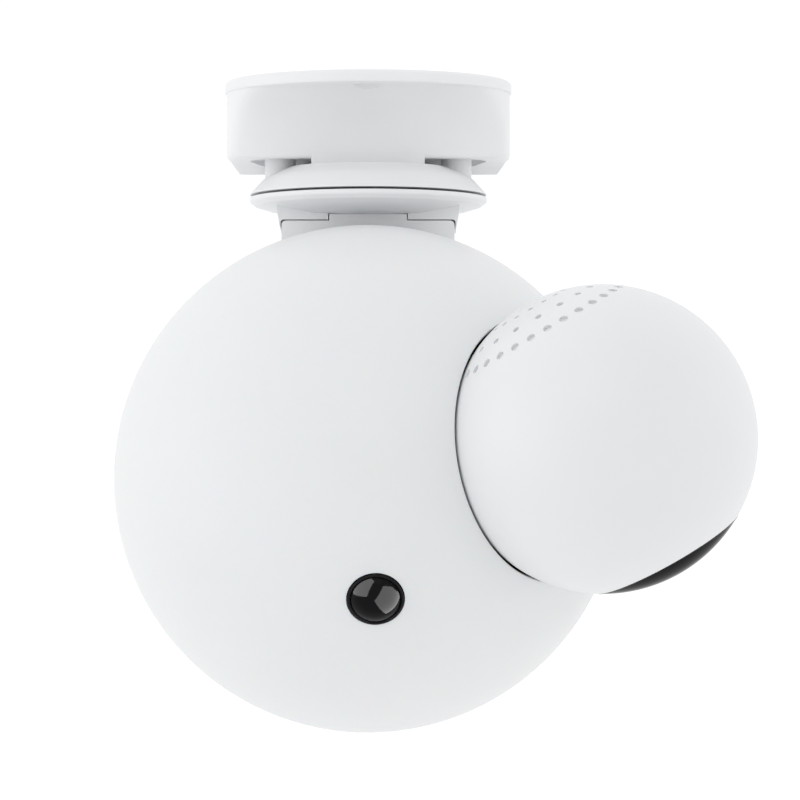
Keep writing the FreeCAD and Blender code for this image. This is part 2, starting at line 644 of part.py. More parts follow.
def make_sink_screws():
    screws = []
    for index, spot in enumerate(sink_screw_places()):
        seat = spot.multiply(FreeCAD.Placement(Vector(0, 0, SIZES["sink_height"]), FreeCAD.Rotation()))
        down = spot.multiply(FreeCAD.Placement(Vector(0, 0, -3.8), FreeCAD.Rotation()))
        head = cylinder("sink_head_%d" % index, "2.3", "1.6", seat)
        shank = cylinder("sink_shank_%d" % index, "1.15", "7", down)
        screws.append(joined("sink_screw_%d" % index, head, shank))
    return group("sink_screws", screws)


def make_led_board():
    low = SIZES["parting_rise"] - SIZES["led_board_height"]
    return cylinder("led_board", "led_board_radius", "led_board_height", head_place(low))


def make_led_chips():
    """Three rings of lamp chips on the board's underside."""
    low = SIZES["parting_rise"] - SIZES["led_board_height"] - SIZES["led_height"]
    chips = []
    for count, radius in ((6, 14.0), (12, 30.0), (18, 46.0)):
        for index, spot in enumerate(around(count, radius, head_place(low))):
            chips.append(sized("led_%d_%d" % (count, index), 3, 3, SIZES["led_height"], spot))
    return group("led_chips", chips)


def make_lamp_driver():
    """The power supply, in a box that stands on the fins."""
    low = SIZES["parting_rise"] + SIZES["sink_height"] + SIZES["fin_height"]
    base = sized("driver_case", 62, 44, 20, head_place(low))
    gland = cylinder("driver_gland", "4", "6",
                     place((0, HEAD_CENTRE[1] + 21.9, HEAD_CENTRE[2] + low + 8), (0, 1, 0)))
    return joined("lamp_driver", base, gland)


# ---------------------------------------------------------------- motion sensor


def sensor_place(height):
    return place(toward(SENSOR_DIRECTION, height, HEAD_CENTRE), SENSOR_DIRECTION)


def make_sensor_bezel():
    top = SIZES["head_radius"] + SIZES["sensor_ring_proud"] - 0.4
    depth = str(top - 76)
    return turned("sensor_bezel", [
        ("sensor_ring_inner", "0"), ("sensor_ring_radius", "0"), ("sensor_ring_radius", depth + " - 0.8"),
        ("sensor_ring_radius - 0.8", depth), ("sensor_ring_inner", depth),
    ], sensor_place(76))


def make_sensor_lens():
    """The domed lens of the motion sensor, hollow from behind."""
    middle = 79.4
    stem = cylinder("sensor_lens_stem", "sensor_lens_radius", "14", sensor_place(78))
    outside = ball("sensor_lens_outside", "sensor_lens_curve", sensor_place(middle))
    hollow = ball("sensor_lens_inside", "sensor_lens_curve - 1.2", sensor_place(middle))
    below = cylinder("sensor_lens_open", "sensor_lens_radius - 1", "5", sensor_place(77))
    return cut("sensor_lens", common("sensor_lens_cap", stem, outside), hollow, below)


def make_sensor_board():
    return cylinder("sensor_board", "sensor_ring_inner - 0.1", "1.4", sensor_place(76))


def make_sensor_can():
    return cylinder("sensor_can", "4.1", "4", sensor_place(77.4))


# ---------------------------------------------------------------- camera socket and stem


def stem_place(distance):
    """A place on the stem's axis, at a distance from the head's centre, pointing to the ball."""
    return place(toward(BALL_DIRECTION, distance, HEAD_CENTRE), BALL_DIRECTION, TILT_AXIS)


def make_camera_socket():
    """The cup behind the dome's opening, with a thick pad where the stem passes through."""
    outside = ball("socket_outside", "ball_radius + socket_gap + socket_wall", place(BALL_CENTRE))
    inside = ball("socket_inside", "ball_radius + socket_gap", place(BALL_CENTRE))
    cup = common("socket_trim", cut("socket_cup", outside, inside), head_skin("socket_limit", "head_wall"))
    pad = cylinder("socket_pad", "stem_pad_radius", "stem_pad_top - stem_pad_bottom",
                   stem_place(SIZES["stem_pad_bottom"]))
    bore = cylinder("socket_bore", "stem_radius + stem_fit", "60", stem_place(20))
    return cut("camera_socket", joined("socket_shape", cup, pad), bore)


def make_socket_washer():
    low = SIZES["stem_pad_bottom"] - 0.6
    return cut("socket_washer",
               cylinder("socket_washer_body", "stem_nut_radius", "0.6", stem_place(low)),
               cylinder("socket_washer_bore", "stem_radius + stem_fit", "10", stem_place(low - 4)))


def make_stem_nut():
    low = SIZES["stem_pad_bottom"] - 0.6 - SIZES["stem_nut_height"] - 0.05
    return cut("stem_nut",
               cylinder("stem_nut_body", "stem_nut_radius", "stem_nut_height", stem_place(low)),
               cylinder("stem_nut_bore", "stem_radius", "20", stem_place(low - 4)))


def make_camera_stem():
    """A hollow stem with a shoulder on the socket's pad and an eye at the ball's centre."""
    shaft = cylinder("stem_shaft", "stem_radius", "ball_distance - stem_end", stem_place(SIZES["stem_end"]))
    shoulder = cylinder("stem_shoulder", "stem_shoulder", "stem_shoulder_height",
                        stem_place(SIZES["stem_pad_top"] + 0.05))
    half = SIZES["stem_eye_half"]
    eye_start = place(toward(TILT_AXIS, -half, BALL_CENTRE), TILT_AXIS)
    eye = cylinder("stem_eye", "stem_radius", "2 * stem_eye_half", eye_start)
    tools = []
    for side in (-1, 1):
        flat = toward(TILT_AXIS, side * (half + 10), toward(BALL_DIRECTION, -14, BALL_CENTRE))
        tools.append(sized("stem_flat%+d" % side, 20, 40, 40, place(flat, BALL_DIRECTION, TILT_AXIS)))
    pin_way = place(toward(TILT_AXIS, -40, BALL_CENTRE), TILT_AXIS)
    tools.append(cylinder("stem_pin_way", "tilt_pin_radius", "80", pin_way))
    tools.append(cylinder("stem_wire_way", "stem_bore", "ball_distance - stem_end - 15",
                          stem_place(SIZES["stem_end"] - 1)))
    exit_place = place(toward(BALL_DIRECTION, -17, BALL_CENTRE), LENS_DIRECTION)
    tools.append(cylinder("stem_wire_exit", "2.5", "20", exit_place))
    return cut("camera_stem", joined("stem_shape", shaft, shoulder, eye), *tools)


def make_tilt_pin():
    reach = SIZES["stem_eye_half"] + SIZES["lug_gap"] + SIZES["lug_width"]
    start = place(toward(TILT_AXIS, -reach, BALL_CENTRE), TILT_AXIS)
    return cylinder("tilt_pin", "tilt_pin_radius", "2 * stem_eye_half + 2 * lug_gap + 2 * lug_width", start)


# ---------------------------------------------------------------- camera ball

AWAY = tuple(Vector(*LENS_DIRECTION).cross(Vector(*TILT_AXIS)))
COVER_DIRECTION = tuple(Vector(-0.45, -0.15, 0.88).normalize())
SOUND_RINGS = ((16.3, 17, 0.9, -0.24), (26.8, 17, 1.15, -0.18), (36.8, 31, 1.5, -0.6))


def ball_place(x=0.0, y=0.0, z=0.0, along=None):
    """A place in the ball's own frame: x along the tilt axis, y away from the stem, z to the lens."""
    spot = Vector(*BALL_CENTRE) + Vector(*TILT_AXIS) * x + Vector(*AWAY) * y + Vector(*LENS_DIRECTION) * z
    return place(tuple(spot), along or LENS_DIRECTION, TILT_AXIS)


def ball_skin(name, inset="0"):
    return ball(name, "ball_radius - " + inset, place(BALL_CENTRE))


def sound_holes():
    """Three rings of holes over the speaker."""
    holes = []
    base = place(BALL_CENTRE, SOUND_DIRECTION, (0, 0, 1))
    for angle, count, radius, phase in SOUND_RINGS:
        lean = math.radians(angle)
        for index in range(count):
            turn = 2 * math.pi * (index + phase) / count
            local = Vector(math.sin(lean) * math.cos(turn), math.sin(lean) * math.sin(turn), math.cos(lean))
            direction = base.Rotation.multVec(local)
            start = toward(direction, SIZES["ball_radius"] - SIZES["ball_wall"] - 1, BALL_CENTRE)
            name = "sound_hole_%d_%d" % (count * 10 + int(angle), index)
            holes.append(cylinder(name, str(radius), "ball_wall + 3", place(start, tuple(direction))))
    return holes


def make_ball_shell():
    """The shell of the camera ball, open at the window, at the stem and at the service cover."""
    tools = [ball_skin("ball_hollow", "ball_wall")]
    tools.append(cylinder("window_opening", "27", "60", ball_place(0, 0, SIZES["window_edge"] - 3)))
    front = ball_place(0, 0, SIZES["window_edge"])
    tools.append(cylinder("window_seat", "40", "60", front))
    tools.append(cone("stem_opening", "0.01", "41", "60", place(BALL_CENTRE, STEM_INWARD)))
    seat = toward(COVER_DIRECTION, SIZES["ball_radius"] - 6, BALL_CENTRE)
    through = cylinder("cover_opening", "cover_radius - 2", "20", place(seat, COVER_DIRECTION))
    rim = cut("cover_seat", cylinder("cover_rim", "cover_radius + 0.12", "20", place(seat, COVER_DIRECTION)),
              ball("cover_floor", "ball_radius - cover_thickness", place(BALL_CENTRE)))
    tools += [through, rim, group("sound_holes", sound_holes())]
    return cut("ball_shell", ball_skin("ball_outside"), *tools)


def make_camera_window():
    """The dark cap over the lens; it continues the ball's own curve."""
    rim = ball_place(0, 0, SIZES["window_edge"] + SIZES["window_line"])
    front = common("window_cap", cut("window_skin", ball_skin("window_outside"),
                                     ball_skin("window_inside", "window_wall")),
                   cylinder("window_limit", "40", "60", rim))
    return front


def make_window_seal():
    return cut("window_seal",
               cylinder("seal_body", "26.8", "3", ball_place(0, 0, SIZES["window_edge"] - 3)),
               cylinder("seal_hole", "25.2", "9", ball_place(0, 0, SIZES["window_edge"] - 6)))


def make_camera_chassis():
    """The frame inside the ball: two lugs on the tilt pin, a shelf and a front ring."""
    solid = [sized("shelf", 44, 2.4, 46, ball_place(0, 11.2, -18)),
             cylinder("front_plate", "chassis_radius", "2.4", ball_place(0, 0, 25.6))]
    near = SIZES["stem_eye_half"] + SIZES["lug_gap"]
    for side in (-1, 1):
        start = place(toward(TILT_AXIS, side * near, BALL_CENTRE), tuple(Vector(*TILT_AXIS) * side))
        solid.append(cylinder("lug%+d" % side, "lug_radius", "lug_width", start))
        solid.append(sized("lug_arm%+d" % side, SIZES["lug_width"], 11, 12,
                           ball_place(side * (near + SIZES["lug_width"] / 2), 6, -6)))
        solid.append(sized("strut%+d" % side, 3, 12, 20, ball_place(side * 19.5, 6, 6)))
    tools = [cylinder("lug_bore", "tilt_pin_radius + tilt_fit", "80",
                      place(toward(TILT_AXIS, -40, BALL_CENTRE), TILT_AXIS)),
             cylinder("front_bore", "9", "20", ball_place(0, 0, 20))]
    for index, spot in enumerate(around(4, 18.5, ball_place(0, 0, 20), 45)):
        tools.append(cylinder("front_screw_hole_%d" % index, "1.1", "20", spot))
    return cut("camera_chassis", joined("chassis_shape", *solid), *tools)


def make_lens_barrel():
    """The lens holder, stepped towards the front."""
    return cut("lens_barrel",
               joined("barrel_shape",
                      cylinder("barrel_base", "lens_barrel_radius + 0.8", "6", ball_place(0, 0, 28)),
                      cylinder("barrel_front", "lens_barrel_radius", "12", ball_place(0, 0, 32))),
               cylinder("barrel_bore", "lens_radius", "30", ball_place(0, 0, 26)))


def make_lens_glass():
    dome = common("lens_front", cylinder("lens_disc", "lens_radius", "9", ball_place(0, 0, 38)),
                  ball("lens_curve", "14", ball_place(0, 0, 30.5)))
    return dome


def make_image_board():
    return sized("image_board", 18, 18, 1.4, ball_place(0, 0, 22.6))


def make_image_sensor():
    return sized("image_sensor", 8, 7, 1.4, ball_place(0, 0, 24.0))


def make_night_board():
    """The ring of board around the lens that carries the night lights."""
    return cut("night_board",
               cylinder("night_disc", "22", "1.2", ball_place(0, 0, 34)),
               cylinder("night_hole", "lens_barrel_radius + 1.2", "9", ball_place(0, 0, 30)))


def make_night_lights():
    lights = []
    for index, spot in enumerate(around(6, 15.5, ball_place(0, 0, 35.2), 30)):
        lights.append(cylinder("night_light_%d" % index, "2.4", "2.6", spot))
    return group("night_lights", lights)


def make_night_posts():
    posts = []
    for index, spot in enumerate(around(4, 18.5, ball_place(0, 0, 28), 45)):
        posts.append(cylinder("night_post_%d" % index, "1.8", "6", spot))
    return group("night_posts", posts)


def make_main_board():
    return sized("main_board", 40, 1.6, 40, ball_place(0, 15.2, -16))


def make_board_posts():
    posts = []
    for x in (-17, 17):
        for z in (-13, 21):
            posts.append(cylinder("board_post%+d%+d" % (x, z), "2", "2", ball_place(x, 12.4, z, AWAY)))
    return group("board_posts", posts)


def make_main_chips():
    chips = [sized("processor", 14, 14, 2.2, ball_place(0, 16, 8, AWAY)),
             sized("memory", 10, 8, 1.4, ball_place(-12, 16, -6, AWAY)),
             sized("radio", 12, 12, 2.4, ball_place(10, 16, -8, AWAY))]
    return group("main_chips", chips)


def sound_place(distance):
    return place(toward(SOUND_DIRECTION, distance, BALL_CENTRE), SOUND_DIRECTION)


def make_speaker():
    start = SIZES["speaker_distance"]
    frame = cylinder("speaker_frame", "speaker_radius", "2", sound_place(start + 4))
    basket = cone("speaker_basket", "speaker_radius - 7", "speaker_radius - 1", "4.1", sound_place(start))
    return joined("speaker", frame, basket)


def make_speaker_horn():
    """The ring that seals the speaker to the inside of the ball's wall."""
    start = SIZES["speaker_distance"] + 6
    outer = common("horn_outside", cone("horn_cone", "17.6", "33.5", "11", sound_place(start)),
                   ball_skin("horn_limit", "ball_wall"))
    inner = cone("horn_hollow", "14.6", "33", "11.02", sound_place(start - 0.01))
    return cut("speaker_horn", outer, inner)


def make_service_tray():
    """The tray under the service cover, with the reset button's bore and the memory card's slot."""
    low = toward(COVER_DIRECTION, 40.0, BALL_CENTRE)
    where = place(low, COVER_DIRECTION, (0, 1, 0))
    disc = cylinder("tray_disc", "cover_radius - 2.2", "6.4", where)
    bore = where.multiply(FreeCAD.Placement(Vector(5.4, 0, -1), FreeCAD.Rotation()))
    slot = where.multiply(FreeCAD.Placement(Vector(-4.2, 0, 1.2), FreeCAD.Rotation()))
    return cut("service_tray", disc,
               cylinder("button_bore", "button_radius + button_fit", "20", bore),
               sized("card_slot", 1.3, 11.6, 20, slot))


def make_memory_card():
    low = toward(COVER_DIRECTION, 40.0, BALL_CENTRE)
    where = place(low, COVER_DIRECTION, (0, 1, 0))
    slot = where.multiply(FreeCAD.Placement(Vector(-4.2, 0, 1.2), FreeCAD.Rotation()))
    return sized("memory_card", 0.8, 11, 6.6, slot)


def make_reset_button():
    low = toward(COVER_DIRECTION, 40.9, BALL_CENTRE)
    where = place(low, COVER_DIRECTION, (0, 1, 0))
    spot = where.multiply(FreeCAD.Placement(Vector(5.4, 0, 0), FreeCAD.Rotation()))
    return cylinder("reset_button", "button_radius", "6.4", spot)


def make_service_cover():
    seat = toward(COVER_DIRECTION, SIZES["ball_radius"] - 6, BALL_CENTRE)
    where = place(seat, COVER_DIRECTION)
    skin = cut("cover_skin", ball_skin("cover_outside"), ball_skin("cover_inside", "cover_thickness"))
    return common("service_cover", skin, cylinder("cover_disc", "cover_radius", "20", where))


# ---------------------------------------------------------------- the sub-parts

MAKERS = (
    make_wall_bracket, make_wall_gasket, make_terminal_block, make_fixed_flange, make_flange_screws,
    make_swivel_tube, make_swivel_nut, make_swivel_washer, make_swivel_seal, make_swivel_arm,
    make_hinge_pin, make_hinge_caps, make_hinge_block, make_neck_screws, make_top_housing,
    make_diffuser_dome, make_head_seal, make_housing_screws, make_heat_sink, make_sink_screws,
    make_led_board, make_led_chips, make_lamp_driver, make_sensor_bezel, make_sensor_lens,
    make_sensor_board, make_sensor_can, make_camera_socket, make_socket_washer, make_stem_nut,
    make_camera_stem, make_tilt_pin, make_ball_shell, make_camera_window, make_window_seal,
    make_camera_chassis, make_lens_barrel, make_lens_glass, make_image_board, make_image_sensor,
    make_night_board, make_night_lights, make_night_posts, make_main_board, make_board_posts,
    make_main_chips, make_speaker, make_speaker_horn, make_service_tray, make_memory_card,
    make_reset_button, make_service_cover,
)


def main():
    parts = {}
    for maker in MAKERS:
        part = maker()
        part.Label = maker.__name__.replace("make_", "")
        parts[part.Label] = part
    doc.recompute()
    failed = [item.Label for item in doc.Objects if {"Invalid", "Error"} & set(item.State)]
    if failed:
        raise SystemExit("these objects failed: " + ", ".join(failed))
    for name, part in parts.items():
        if part.Shape.isNull() or not part.Shape.isValid() or not part.Shape.Solids:
            raise SystemExit(name + " has no valid solid")
    os.makedirs("parts", exist_ok=True)
    for name, part in parts.items():
        part.Shape.exportStep("parts/%s.step" % name)
        print("%-16s %2d solids %10.1f mm3" % (name, len(part.Shape.Solids), part.Shape.Volume))


main()
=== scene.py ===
import json
import math

import bmesh
import bpy
from mathutils import Matrix, Vector


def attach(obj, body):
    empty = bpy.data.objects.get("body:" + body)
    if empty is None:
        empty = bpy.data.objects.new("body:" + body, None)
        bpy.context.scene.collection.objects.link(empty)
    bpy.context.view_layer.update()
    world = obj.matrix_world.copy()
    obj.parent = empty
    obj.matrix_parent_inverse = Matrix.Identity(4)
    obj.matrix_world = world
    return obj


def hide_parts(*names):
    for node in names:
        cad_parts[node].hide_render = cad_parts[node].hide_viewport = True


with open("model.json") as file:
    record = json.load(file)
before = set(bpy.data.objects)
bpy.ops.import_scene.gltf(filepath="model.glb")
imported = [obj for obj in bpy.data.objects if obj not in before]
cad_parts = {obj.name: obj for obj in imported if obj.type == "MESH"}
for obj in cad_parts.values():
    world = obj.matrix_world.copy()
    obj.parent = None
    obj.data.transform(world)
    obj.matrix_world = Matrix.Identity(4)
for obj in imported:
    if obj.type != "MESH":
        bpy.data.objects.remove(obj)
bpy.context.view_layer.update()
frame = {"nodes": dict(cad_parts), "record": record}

NODES = frame["nodes"]
MM = 0.001

# ---------------------------------------------------------------- sizes and places, in millimetres

HEAD_CENTRE = Vector((0, -136, -30))
HEAD_RADIUS = 85.0
HEAD_WALL = 3.0
PARTING_RISE = 6.0
BALL_DIRECTION = Vector((-0.774, 0.107, -0.624)).normalized()
LENS_DIRECTION = Vector((-0.491, -0.856, 0.160)).normalized()
SOUND_DIRECTION = Vector((0.5, 0.865, -0.042)).normalized()
SENSOR_DIRECTION = Vector((-0.034, -0.494, -0.869)).normalized()
COVER_DIRECTION = Vector((-0.45, -0.15, 0.88)).normalized()
BALL_DISTANCE = 99.4
BALL_CENTRE = HEAD_CENTRE + BALL_DIRECTION * BALL_DISTANCE
BALL_RADIUS = 50.5
BALL_WALL = 2.4
SOCKET_RADIUS = BALL_RADIUS + 0.8
WINDOW_EDGE = 42.7
# each ring of speaker holes: angle from the speaker's axis, how many, radius, turn of the first hole
SOUND_RINGS = ((16.3, 17, 0.9, -0.24), (26.8, 17, 1.15, -0.18), (36.8, 31, 1.5, -0.6))
COVER_RADIUS = 13.0
SENSOR_HOLE = 9.55
SENSOR_RING = 9.25
SENSOR_BORE = 8.2
SENSOR_DOME = 8.1
SENSOR_CURVE = 10.0
HEAD_SCREWS = 74.0
HEAD_SCREW_WELL = 3.4
PLATE_RADIUS = 48.8
PLATE_DEPTH = 4.2
BAR_RADIUS = 48.2
BAR_DEPTH = 26.9
BAR_HALF = 15.0
COVE_RADIUS = 23.6
COVE_DEPTH = 27.4
COVE_OUT = 38.6
BOSS_HALF = 19.2
SKIRT_DEPTH = 30.2
SWEEP_START = 3.0
SWEEP_RADIUS = 16.8
FLANGE_RADIUS = 40.4
FLANGE_FACE = 38.5
ARM_TOP = 39.3
YOKE_HALF = 18.0
YOKE_WIDTH = 30.9
YOKE_DEPTH = 48.0
CHEEK_DEPTH = 50.2
KNUCKLE_WIDTH = 27.6
TONGUE_HALF = 13.1
TONGUE_TOP = 46.2
NECK_WIDTH = 29.2
HINGE = Vector((0, -54.2, 9))
KNUCKLE = 6.0
POST_OFFSET = 29.9
POST_RADIUS = 5.25
POST_WELL_RADIUS = 10.5
POST_TOP = 21.7
SCREW_OFFSET = 36.0
WIRING_RADIUS = 12.5
PLATE_LIP = 0.9
SKIRT_TOP = 23.0
CHAMFER_DEPTH = 24.9
OUTWARD = Vector((0, -1, 0))
UP = Vector((0, 0, 1))

# ---------------------------------------------------------------- mesh helpers


def placed(at, along):
    """The matrix of a place whose local Z lies along a direction; its position is in millimetres."""
    turn = Vector(along).to_track_quat("Z", "Y")
    return Matrix.Translation(Vector(at)) @ turn.to_matrix().to_4x4()


def keep(name, bm, angle=32):
    """A new object from a bmesh in millimetres, smooth except at edges sharper than the angle."""
    bm.transform(Matrix.Scale(MM, 4))
    bmesh.ops.recalc_face_normals(bm, faces=bm.faces)
    mesh = bpy.data.meshes.new(name)
    bm.to_mesh(mesh)
    bm.free()
    item = bpy.data.objects.new(name, mesh)
    bpy.context.scene.collection.objects.link(item)
    smooth(item, angle)
    return item


def smooth(item, angle=32):
    """Smooth shading, except across edges sharper than the angle."""
    item.data.shade_smooth()
    item.data.set_sharp_from_angle(angle=math.radians(angle))


def rounded(corners, radius, steps=5):
    """An outline whose corners are replaced by arcs; a corner may carry its own radius."""
    out = []
    count = len(corners)
    for index, corner in enumerate(corners):
        here = Vector(corner[:2])
        size = corner[2] if len(corner) > 2 else radius
        before = Vector(corners[index - 1][:2]) - here
        after = Vector(corners[(index + 1) % count][:2]) - here
        turn = before.angle(after) if before.length and after.length else math.pi
        if size <= 0 or turn > math.pi - 0.02:
            out.append(here)
            continue
        reach = min(size / math.tan(turn / 2), before.length * 0.49, after.length * 0.49)
        start = here + before.normalized() * reach
        end = here + after.normalized() * reach
        for step in range(steps + 1):
            t = step / steps
            out.append(start * (1 - t) ** 2 + here * 2 * t * (1 - t) + end * t ** 2)
    return out


def arc(centre, radius, first, last, steps):
    """Points on an arc in an outline, from one angle to another in degrees."""
    points = []
    for step in range(steps + 1):
        turn = math.radians(first + (last - first) * step / steps)
        points.append(Vector((centre[0] + radius * math.cos(turn), centre[1] + radius * math.sin(turn))))
    return points


def turned(name, outline, where, segments=160, angle=32):
    """A closed outline of (radius, height) points, turned about a place's local Z."""
    bm = bmesh.new()
    rings = []
    for radius, height in outline:
        if radius < 1e-4:
            rings.append([bm.verts.new((0, 0, height))])
            continue
        ring = []
        for index in range(segments):
            turn = 2 * math.pi * index / segments
            ring.append(bm.verts.new((radius * math.cos(turn), radius * math.sin(turn), height)))
        rings.append(ring)
    for lower, upper in zip(rings, rings[1:] + rings[:1]):
        for index in range(segments):
            after = (index + 1) % segments
            face = [lower[index % len(lower)], lower[after % len(lower)],
                    upper[after % len(upper)], upper[index % len(upper)]]
            face = list(dict.fromkeys(face))
            if len(face) > 2:
                bm.faces.new(face)
    bm.transform(where)
    return keep(name, bm, angle)


def prism(name, outline, thickness, where, angle=32):
    """A flat outline of (x, y) points, made thick along a place's local Z."""
    bm = bmesh.new()
    low = [bm.verts.new((p[0], p[1], 0)) for p in outline]
    high = [bm.verts.new((p[0], p[1], thickness)) for p in outline]
    bm.faces.new(low[::-1])
    bm.faces.new(high)
    count = len(outline)
    for index in range(count):
        after = (index + 1) % count
        bm.faces.new((low[index], low[after], high[after], high[index]))
    bm.transform(where)
    return keep(name, bm, angle)


def slab(name, low, high):
    """A block between two corners."""
    outline = [(low[0], low[1]), (high[0], low[1]), (high[0], high[1]), (low[0], high[1])]
    return prism(name, outline, high[2] - low[2], Matrix.Translation((0, 0, low[2])))


def rod(name, radius, length, at, along, segments=64):
    """A plain cylinder that starts at a point and runs in a direction."""
    outline = [(0, 0), (radius, 0), (radius, length), (0, length)]
    return turned(name, outline, placed(at, along), segments)


def combine(item, others, operation="DIFFERENCE", angle=32):
    """Cuts pieces from an item, or adds them to it, and removes them."""
    for other in others:
        step = item.modifiers.new("step", "BOOLEAN")
        step.operation = operation
        step.solver = "EXACT"
        step.object = other
    graph = bpy.context.evaluated_depsgraph_get()
    mesh = bpy.data.meshes.new_from_object(item.evaluated_get(graph))
    item.modifiers.clear()
    item.data = mesh
    for other in others:
        bpy.data.objects.remove(other)
    smooth(item, angle)
    return item


def eased(item, width=0.4, angle=40, segments=3):
    """Rounds the sharp edges a little, as a mould or a paint coat does."""
    step = item.modifiers.new("ease", "BEVEL")
    step.width = width * MM
    step.segments = segments
    step.limit_method = "ANGLE"
    step.angle_limit = math.radians(angle)
    step.use_clamp_overlap = True
    step.harden_normals = False
    graph = bpy.context.evaluated_depsgraph_get()
    mesh = bpy.data.meshes.new_from_object(item.evaluated_get(graph))
    item.modifiers.clear()
    item.data = mesh
    smooth(item, angle)
    return item


def finish_piece(item, body, slot, material, *nodes):
    """Gives a piece its material, fixes it to its body and hides the CAD nodes it stands for; the slot is not
    used.
    """
    item.data.materials.clear()
    item.data.materials.append(material)
    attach(item, body)
    if nodes:
        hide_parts(*nodes)
    return item


# ---------------------------------------------------------------- materials


def material(name, colour, roughness, grain=0.0, grain_size=0.4, spread=0.02, metallic=0.0,
             coat=0.0, subsurface=0.0, specular=0.5, rough_spread=0.06):
    """Moulded or painted surface: soft cloudiness in colour and gloss, and a fine grain in relief."""
    made = bpy.data.materials.new(name)
    made.use_nodes = True
    tree = made.node_tree
    nodes = tree.nodes
    shader = nodes["Principled BSDF"]
    shader.inputs["Metallic"].default_value = metallic
    shader.inputs["Coat Weight"].default_value = coat
    shader.inputs["Coat Roughness"].default_value = 0.08
    shader.inputs["Specular IOR Level"].default_value = specular
    shader.inputs["Subsurface Weight"].default_value = subsurface
    shader.inputs["Subsurface Scale"].default_value = 0.002
    where = nodes.new("ShaderNodeTexCoord")
    cloud = nodes.new("ShaderNodeTexNoise")
    cloud.inputs["Scale"].default_value = 28.0
    cloud.inputs["Detail"].default_value = 3.0
    tree.links.new(where.outputs["Object"], cloud.inputs["Vector"])
    tint = nodes.new("ShaderNodeValToRGB")
    tint.color_ramp.elements[0].position = 0.3
    tint.color_ramp.elements[1].position = 0.7
    tint.color_ramp.elements[0].color = [max(0, c * (1 - spread)) for c in colour] + [1]
    tint.color_ramp.elements[1].color = [min(1, c * (1 + spread)) for c in colour] + [1]
    tree.links.new(cloud.outputs["Fac"], tint.inputs["Fac"])
    tree.links.new(tint.outputs["Color"], shader.inputs["Base Color"])
    gloss = nodes.new("ShaderNodeMapRange")
    gloss.inputs["To Min"].default_value = max(0.02, roughness - rough_spread)
    gloss.inputs["To Max"].default_value = min(1, roughness + rough_spread)
    tree.links.new(cloud.outputs["Fac"], gloss.inputs["Value"])
    tree.links.new(gloss.outputs["Result"], shader.inputs["Roughness"])
    if grain:
        fine = nodes.new("ShaderNodeTexNoise")
        fine.inputs["Scale"].default_value = 1 / (grain_size * MM)
        fine.inputs["Detail"].default_value = 2.0
        tree.links.new(where.outputs["Object"], fine.inputs["Vector"])
        relief = nodes.new("ShaderNodeBump")
        relief.inputs["Strength"].default_value = grain
        relief.inputs["Distance"].default_value = 0.05 * MM
        tree.links.new(fine.outputs["Fac"], relief.inputs["Height"])
        tree.links.new(relief.outputs["Normal"], shader.inputs["Normal"])
    return made


SHELL_COLOUR = (0.785, 0.797, 0.808)
WHITE_METAL = material("white powder coat", (0.818, 0.828, 0.838), 0.5, grain=0.25, grain_size=0.5)
WHITE_SHELL = material("white satin shell", SHELL_COLOUR, 0.42, grain=0.12, grain_size=0.35, spread=0.008)
OPAL = material("opal diffuser", SHELL_COLOUR, 0.45, grain=0.1, grain_size=0.35, spread=0.008,
                subsurface=0.15)
BALL_WHITE = material("white satin ball", SHELL_COLOUR, 0.42, grain=0.12, grain_size=0.35, spread=0.008)
SENSOR_BLACK = material("black polished lens", (0.006, 0.006, 0.007), 0.07, spread=0.1,
                        specular=0.06, rough_spread=0.02)
WINDOW_BLACK = material("black polished window", (0.008, 0.008, 0.009), 0.08, spread=0.1,
                        specular=0.006, rough_spread=0.02)
RING_BLACK = material("black satin ring", (0.008, 0.008, 0.009), 0.22, grain=0.1, spread=0.1,
                      specular=0.12, rough_spread=0.02)
BLACK_PLASTIC = material("black fine plastic", (0.018, 0.018, 0.02), 0.42, grain=0.3, spread=0.1)
RUBBER = material("black rubber", (0.02, 0.02, 0.021), 0.75, grain=0.5, spread=0.1)
STEEL = material("plated steel", (0.58, 0.58, 0.6), 0.3, grain=0.2, metallic=1.0)
ALUMINIUM = material("cast aluminium", (0.66, 0.67, 0.69), 0.42, grain=0.4, metallic=1.0)
BOARD_GREEN = material("green solder mask", (0.015, 0.10, 0.045), 0.35, grain=0.2, spread=0.15)
BOARD_WHITE = material("white solder mask", (0.82, 0.82, 0.8), 0.4, grain=0.2)
PHOSPHOR = material("lamp phosphor", (0.9, 0.72, 0.22), 0.5, grain=0.3, spread=0.05)
CHIP = material("chip resin", (0.025, 0.025, 0.027), 0.5, grain=0.5, spread=0.2)
GREY_PLASTIC = material("grey moulded plastic", (0.3, 0.31, 0.32), 0.5, grain=0.4)
NIGHT_LIGHT = material("dark clear resin", (0.12, 0.015, 0.02), 0.12, spread=0.1, coat=0.4)
GLASS = material("coated lens glass", (0.06, 0.05, 0.12), 0.04, spread=0.2, coat=1.0, rough_spread=0.01)

SLOT_MATERIALS = {
    "white_metal": WHITE_METAL, "white_shell": WHITE_SHELL, "opal_dome": OPAL, "ball_white": BALL_WHITE,
    "dark_window": WINDOW_BLACK, "sensor_black": SENSOR_BLACK, "black_plastic": BLACK_PLASTIC,
    "rubber_black": RUBBER, "bright_steel": STEEL, "bare_aluminium": ALUMINIUM,
    "circuit_green": BOARD_GREEN, "lamp_board_white": BOARD_WHITE, "lamp_chip": PHOSPHOR,
    "chip_black": CHIP, "grey_plastic": GREY_PLASTIC, "clear_glass": GLASS, "night_light": NIGHT_LIGHT,
}

for entry in frame["record"]["subparts"]:
    carried = NODES[entry["node"]]
    carried.data.materials.clear()
    carried.data.materials.append(SLOT_MATERIALS[entry["material_slot"]])

# ---------------------------------------------------------------- wall bracket and flange


